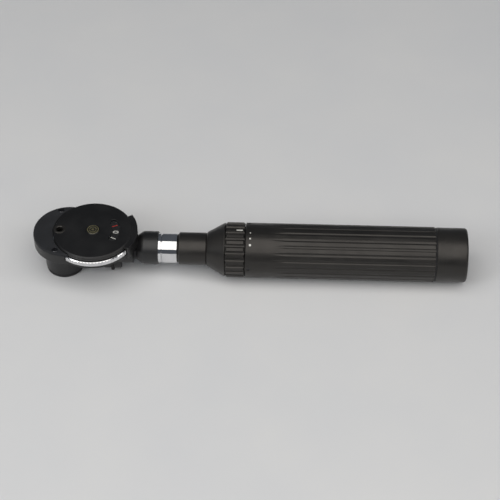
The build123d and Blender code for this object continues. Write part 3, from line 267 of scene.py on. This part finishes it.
def gold_rosette(name, centre):
    """Black screw head with gold rings and a gold dot round its upright axis."""
    look = Look(name, (0.02, 0.02, 0.02), 0.4)
    look.soften(0.12 * MM)
    x, y, _ = look.axis_parts(centre)
    distance = look.reach(x, y)

    gold = look.math("LESS_THAN", distance, GOLD_DOT)
    for inner, outer in GOLD_RINGS:
        ring = look.math("MULTIPLY", look.math("GREATER_THAN", distance, inner),
                         look.math("LESS_THAN", distance, outer))
        gold = look.math("MAXIMUM", gold, ring)
    stain = look.noise(1.1 * MM, detail=6)
    gold = look.math("MULTIPLY", gold, look.spread(stain, 0.32, 0.45, 0.35, 1))
    metal_tone = look.blend(look.spread(stain, 0.42, 0.64, 0, 0.9), (0.6, 0.53, 0.28, 1),
                            (0.34, 0.3, 0.15, 1))
    look.feed(look.shader.inputs["Metallic"], gold)
    look.bump(gold, 0.02 * MM)
    look.bump(look.noise(0.15 * MM, detail=2), 0.006 * MM)
    return look.done(look.blend(gold, (0.017, 0.016, 0.015, 1), metal_tone),
                     look.spread(stain, 0.35, 0.7, 0.3, 0.46))


def fibre(name, base, lines):
    """Pressed insulating board with layers and flecks."""
    look = Look(name, base, 0.55)
    look.soften(0.12 * MM)
    layer = look.noise(0.35 * MM, lines, detail=3)
    fleck = look.noise(0.7 * MM, detail=6, shift=2.2)
    body = look.blend(look.spread(layer, 0.35, 0.65, 0, 0.7), (*base, 1), tone(base, 0.6))
    body = look.blend(look.spread(fleck, 0.6, 0.72, 0, 0.5), body, tone(base, 1.8))
    look.bump(layer, 0.02 * MM)
    return look.done(body, look.spread(fleck, 0.35, 0.7, 0.45, 0.65))


def glass(name, tint, sheen):
    """Clear piece: it shows what is behind it, with a reflection that grows toward grazing."""
    look = Look(name, sheen, 0.03, metallic=1.0)
    film = look.noise(2.5 * MM, detail=5)
    clear = look.node("BsdfTransparent", (("Color", (*tint, 1)),)).outputs[0]
    gloss = look.math("ADD", look.node("Fresnel", (("IOR", 1.5),)).outputs[0],
                      look.spread(film, 0.5, 0.75, 0.0, 0.02))
    front = look.math("SUBTRACT", 1.0, look.node("NewGeometry").outputs["Backfacing"])
    gloss = look.math("MULTIPLY", gloss, front)
    mixed = look.node("MixShader", ((0, gloss), (1, clear), (2, look.shader.outputs["BSDF"])))
    look.links.new(mixed.outputs[0], look.output.inputs["Surface"])
    return look.done(roughness=look.spread(film, 0.35, 0.7, 0.015, 0.09))


def paint(name, base):
    """Thin printed ink with a slightly uneven edge and a little loss."""
    look = Look(name, base, 0.5)
    loss = look.noise(0.5 * MM, detail=5)
    body = look.blend(look.spread(loss, 0.52, 0.75, 0, 0.6), (*base, 1), tone(base, 0.5))
    look.bump(loss, 0.006 * MM)
    return look.done(body, look.spread(loss, 0.3, 0.7, 0.4, 0.62))


SLEEVE_FRONT = 2.4 * MM          # bare steel at the positive end of a cell
SLEEVE_BACK = 0.9 * MM           # and at the other end
BAND = (7 * MM, 9 * MM)          # pale ring


def cell_sleeve(name, node):
    """Dry cell: steel ends, a slate sleeve and a pale ring at the positive end."""
    low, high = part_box(node)
    look = Look(name, (0.1, 0.12, 0.16), 0.3, Coat_Weight=0.3)
    along = look.axis_parts((low.x, 0, AXIS_Z))[0]
    sleeve = look.math("MULTIPLY", look.math("GREATER_THAN", along, SLEEVE_FRONT),
                       look.math("LESS_THAN", along, high.x - low.x - SLEEVE_BACK))
    band = look.math("MULTIPLY", look.math("GREATER_THAN", along, BAND[0]),
                     look.math("LESS_THAN", along, BAND[1]))
    rub = look.noise(3 * MM, (0.3, 1, 1), detail=6)
    steel = look.blend(look.spread(rub, 0.4, 0.7, 0, 1), (0.6, 0.6, 0.6, 1), (0.42, 0.42, 0.43, 1))
    wrap = look.blend(band, (0.06, 0.075, 0.1, 1), (0.55, 0.55, 0.5, 1))
    wrap = look.blend(look.spread(rub, 0.55, 0.75, 0, 0.4), wrap, (0.16, 0.17, 0.19, 1))
    look.feed(look.shader.inputs["Metallic"], look.math("SUBTRACT", 1.0, sleeve))
    look.bump(rub, 0.01 * MM)
    return look.done(look.blend(sleeve, steel, wrap), look.spread(rub, 0.3, 0.7, 0.22, 0.42))


CHROME = (0.8, 0.8, 0.81)
STEEL = (0.46, 0.46, 0.47)
BRASS = (0.66, 0.48, 0.2)
barrel_black = anodised("barrel_black", ALONG)
turned_black = anodised("turned_black", ROUND)
housing_black = enamel("housing_black", (0.009, 0.009, 0.0095), 0.4, 0.9 * MM, 0.012 * MM,
                       coat=0.15)
plate_black = enamel("plate_black", (0.007, 0.007, 0.0075), 0.46, 0.16 * MM, 0.012 * MM)
tube_black = enamel("tube_black", (0.015, 0.015, 0.016), 0.5, 0.2 * MM, 0.01 * MM)
brow_black = rubber("brow_black", (0.0135, 0.0145, 0.017), 0.45 * MM)
seal_black = rubber("seal_black", (0.016, 0.016, 0.017), 0.3 * MM)
chrome_round = metal("chrome_round", CHROME, 0.05, 0.13, ROUND, 0.0012)
chrome_edge = metal("chrome_edge", CHROME, 0.06, 0.16, line_depth=0.0015)
nickel = metal("nickel", (0.62, 0.6, 0.56), 0.14, 0.3, ROUND, 0.004, tarnish=0.3)
steel = metal("steel", STEEL, 0.2, 0.38, line_depth=0.004, tarnish=0.25)
black_steel = metal("black_steel", (0.07, 0.07, 0.075), 0.26, 0.4, line_depth=0.004)
spring_wire = metal("spring_wire", (0.5, 0.5, 0.5), 0.2, 0.34, ALONG, 0.003, tarnish=0.2)
brass = metal("brass", BRASS, 0.18, 0.34, ROUND, 0.004, tarnish=0.5, tint=(0.25, 0.15, 0.06, 1))
tungsten = metal("tungsten", (0.3, 0.3, 0.31), 0.35, 0.5, line_depth=0.004)
mirror_silver = metal("mirror_silver", (0.9, 0.9, 0.91), 0.01, 0.04, line_depth=0.0)
gold_screw = gold_rosette("gold_screw", WHEEL_CENTRE)
red_fibre = fibre("red_fibre", (0.3, 0.035, 0.02), (1, 0.1, 0.1))
phenolic = fibre("phenolic", (0.16, 0.075, 0.032), (1, 0.08, 0.08))
scale_black = enamel("scale_black", (0.012, 0.012, 0.012), 0.6, 0.1 * MM, 0.008 * MM, scuffs=0.0)
clear_glass = glass("clear_glass", (0.97, 0.985, 0.98), (1, 1, 1))
lens_glass = glass("lens_glass", (0.93, 0.96, 0.99), (0.8, 0.85, 1.0))
clear_window = glass("clear_window", (0.98, 0.98, 0.98), (1, 1, 1))
green_glass = glass("green_glass", (0.1, 0.62, 0.25), (0.8, 1, 0.85))
white_ink = paint("white_ink", (0.72, 0.72, 0.68))
red_ink = paint("red_ink", (0.55, 0.035, 0.025))

FINISHES = {
    barrel_black: ["barrel"],
    turned_black: ["handle_cone", "brightness_ring", "end_cap", "sight_eyelet"],
    housing_black: ["housing", "optics_cover"],
    plate_black: ["face_plate"],
    tube_black: ["mirror_mount", "objective_tube", "condenser_tube"],
    brow_black: ["brow_rest"],
    seal_black: ["window_bezel", "cap_seal"],
    chrome_round: ["collar", "coupling_tube"],
    chrome_edge: ["wheel_rim"],
    nickel: ["socket_liner"],
    steel: ["bayonet_pins", "cover_screws", "pivot_post", "wheel_washer", "detent_ball",
            "detent_plug", "aperture_axle"],
    black_steel: ["brow_screws", "barrel_screws"],
    spring_wire: ["plunger_spring", "cap_spring", "detent_spring"],
    brass: ["contact_plunger", "rheostat_wiper", "collector_strip", "supply_strip",
            "battery_contact", "cap_contact", "bulb_base", "bulb_contact"],
    tungsten: ["bulb_filament"],
    mirror_silver: ["mirror"],
    gold_screw: ["pivot_screw"],
    red_fibre: ["bulb_insulator"],
    phenolic: ["contact_bush", "rheostat_track", "bulkhead"],
    scale_black: ["lens_wheel", "aperture_wheel"],
    clear_glass: ["patient_window", "bulb_glass"],
    lens_glass: ["wheel_lenses", "objective_lens", "condenser_lens"],
    clear_window: ["scale_window"],
    green_glass: ["green_filter"],
    cell_sleeve("front_sleeve", "front_battery"): ["front_battery"],
    cell_sleeve("rear_sleeve", "rear_battery"): ["rear_battery"],
}
for material, names in FINISHES.items():
    for name in names:
        slots = nodes[name].data.materials
        slots.clear()
        slots.append(material)

# ---- numbers on the lens wheel -------------------------------------------------------------------
POWERS = ("0", "1", "2", "3", "4", "6", "8", "10", "20", "10", "8", "6", "4", "3", "2", "1")
STATIONS = len(POWERS)
SCALE_RADIUS = 12.5 * MM
NUMBER_SIZE = 4.5 * MM
TWO_DIGITS = 0.75                # size of a number with two digits against one with one digit
STROKE_SPREAD = 0.05 * MM        # makes the strokes of the numbers bolder
INK = 0.03 * MM                  # thickness of the print


def add_piece(name, mesh, material, body):
    """Put a mesh that is already in place into the scene, riding on a body."""
    piece = bpy.data.objects.new(name, mesh)
    mesh.materials.clear()
    mesh.materials.append(material)
    bpy.context.scene.collection.objects.link(piece)
    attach(piece, body)
    return piece


def number_mesh(text, turn):
    """Flat outline of one number at its place round the wheel, its top toward the centre."""
    curve = bpy.data.curves.new("number", "FONT")
    curve.body = text
    curve.size = NUMBER_SIZE if len(text) == 1 else NUMBER_SIZE * TWO_DIGITS
    curve.align_x = "CENTER"
    curve.align_y = "CENTER"
    curve.extrude = INK / 2
    curve.offset = STROKE_SPREAD
    curve.resolution_u = 5
    holder = bpy.data.objects.new("number", curve)
    bpy.context.scene.collection.objects.link(holder)
    bpy.context.view_layer.update()
    mesh = bpy.data.meshes.new_from_object(holder.evaluated_get(
        bpy.context.evaluated_depsgraph_get()))
    bpy.data.objects.remove(holder)
    spot = WHEEL_CENTRE + Vector((SCALE_RADIUS * cos(turn), SCALE_RADIUS * sin(turn), INK / 2))
    mesh.transform(Matrix.Translation(spot) @ Matrix.Rotation(turn + pi / 2, 4, "Z"))
    return mesh


def number_ring(name, steps, material):
    """The numbers of some stations, as one printed piece on the wheel."""
    joined = bmesh.new()
    for step in steps:
        joined.from_mesh(number_mesh(POWERS[step], 2 * pi * step / STATIONS))
    bmesh.ops.remove_doubles(joined, verts=joined.verts, dist=0.001 * MM)
    mesh = bpy.data.meshes.new(name)
    joined.to_mesh(mesh)
    joined.free()
    return add_piece(name, mesh, material, "lens_wheel")


number_ring("scale_plus", [0, *range(STATIONS // 2, STATIONS)], white_ink)
number_ring("scale_minus", range(1, STATIONS // 2), red_ink)

# ---- brightness marks on the handle --------------------------------------------------------------
# Paint that fills the CAD's engraved index line and dots.
MARK_FLOOR = GRIP_RADIUS - 0.13 * MM
MARK_TOP = GRIP_RADIUS - 0.03 * MM
INDEX_LINE = (3.4 * MM, 0.8 * MM)
INDEX_BACK = 2.8 * MM            # its middle, from the ring's rear face
DOTS = ((97, 0.35), (111, 0.5), (125, 0.65))    # angle in degrees and radius in millimetres
DOT_AHEAD = 2.6 * MM             # their middle, from the barrel's front face


def round_mark(name, x, angle, outline, body):
    """Fill of one engraved mark, from its outline as (along, across) points."""
    built = bmesh.new()
    layers = []
    for radius in (MARK_FLOOR, MARK_TOP):
        layer = []
        for along, across in outline:
            turn = angle + across / GRIP_RADIUS
            layer.append(built.verts.new((x + along, radius * cos(turn),
                                          AXIS_Z + radius * sin(turn))))
        layers.append(layer)
    lower, upper = layers
    built.faces.new(upper)
    built.faces.new(lower[::-1])
    for i in range(len(outline)):
        j = (i + 1) % len(outline)
        built.faces.new((lower[i], lower[j], upper[j], upper[i]))
    bmesh.ops.recalc_face_normals(built, faces=built.faces)
    mesh = bpy.data.meshes.new(name)
    built.to_mesh(mesh)
    built.free()
    return add_piece(name, mesh, white_ink, body)


def dot_outline(radius, corners=24):
    return [(radius * cos(2 * pi * i / corners), radius * sin(2 * pi * i / corners))
            for i in range(corners)]


half_line, half_width = (part / 2 for part in INDEX_LINE)
round_mark("ring_index", ring_high.x - INDEX_BACK, pi / 2,
           [(-half_line, -half_width), (half_line, -half_width), (half_line, half_width),
            (-half_line, half_width)], "brightness_ring")
for number, (angle, radius) in enumerate(DOTS, start=1):
    round_mark(f"brightness_dot_{number}", barrel_low.x + DOT_AHEAD, radians(angle),
               dot_outline(radius * MM), "handle")

# ---- camera --------------------------------------------------------------------------------------
CAMERA_ELEVATION = radians(45)
CAMERA_AZIMUTH = radians(2)
CAMERA_DISTANCE = 0.883
VIEW_WIDTH = 0.274               # width of the picture at the object
SENSOR = 36.0
middle = (cad_low + cad_high) / 2
back = Vector((sin(CAMERA_AZIMUTH) * cos(CAMERA_ELEVATION),
               -cos(CAMERA_AZIMUTH) * cos(CAMERA_ELEVATION), sin(CAMERA_ELEVATION)))
camera_data = bpy.data.cameras.new("camera")
camera_data.sensor_width = SENSOR
camera_data.lens = SENSOR * CAMERA_DISTANCE / VIEW_WIDTH
camera_data.clip_start = 0.05
camera_data.clip_end = 20
camera = bpy.data.objects.new("camera", camera_data)
bpy.context.scene.collection.objects.link(camera)
camera.location = middle + back * CAMERA_DISTANCE
camera.rotation_mode = "QUATERNION"
camera.rotation_quaternion = (-back).to_track_quat("-Z", "Y")
bpy.context.scene.camera = camera
bpy.context.scene.view_settings.view_transform = "Standard"

# ---- floor and light -----------------------------------------------------------------------------
FLOOR_HALF = 3.0
FLOOR_GAP = 0.02 * MM            # keeps the floor clear of the faces that rest on it
floor_mesh = bpy.data.meshes.new("floor")
floor_mesh.from_pydata([(-FLOOR_HALF, -FLOOR_HALF, 0), (FLOOR_HALF, -FLOOR_HALF, 0),
                        (FLOOR_HALF, FLOOR_HALF, 0), (-FLOOR_HALF, FLOOR_HALF, 0)],
                       [], [(0, 1, 2, 3)])
floor = bpy.data.objects.new("floor", floor_mesh)
floor.location.z = cad_low.z - FLOOR_GAP
bpy.context.scene.collection.objects.link(floor)
floor_look = Look("floor_paper", (0.76, 0.77, 0.78), 0.7, Specular_IOR_Level=0.2)
paper = floor_look.noise(60 * MM, detail=3)
floor_mesh.materials.append(floor_look.done(
    floor_look.blend(floor_look.spread(paper, 0.3, 0.7, 0, 1), (0.75, 0.76, 0.775, 1),
                     (0.78, 0.785, 0.79, 1))))

world = bpy.data.worlds.new("studio")
world.use_nodes = True
background = world.node_tree.nodes["Background"]
background.inputs["Color"].default_value = (0.8, 0.88, 1.0, 1)
background.inputs["Strength"].default_value = 0.1
bpy.context.scene.world = world


def softbox(name, place, size, power, colour):
    """Rectangular soft light at a place, turned toward the middle of the floor."""
    light = bpy.data.lights.new(name, "AREA")
    light.shape = "RECTANGLE"
    light.size, light.size_y = size
    light.energy = power
    light.color = colour
    holder = bpy.data.objects.new(name, light)
    holder.location = place
    holder.rotation_mode = "QUATERNION"
    holder.rotation_quaternion = (-Vector(place)).to_track_quat("-Z", "Y")
    bpy.context.scene.collection.objects.link(holder)


# place, width and height, watts, colour
LIGHTS = {
    "key": ((-0.1, -0.5, 1.05), (1.8, 1.4), 13.5, (1.0, 0.97, 0.93)),
    "fill": ((-0.95, -0.75, 0.75), (0.35, 0.45), 2.2, (0.92, 0.96, 1.0)),
    "side": ((1.15, -0.3, 0.8), (0.3, 0.7), 2.2, (1.0, 0.98, 0.95)),
}
for name, settings in LIGHTS.items():
    softbox(name, *settings)
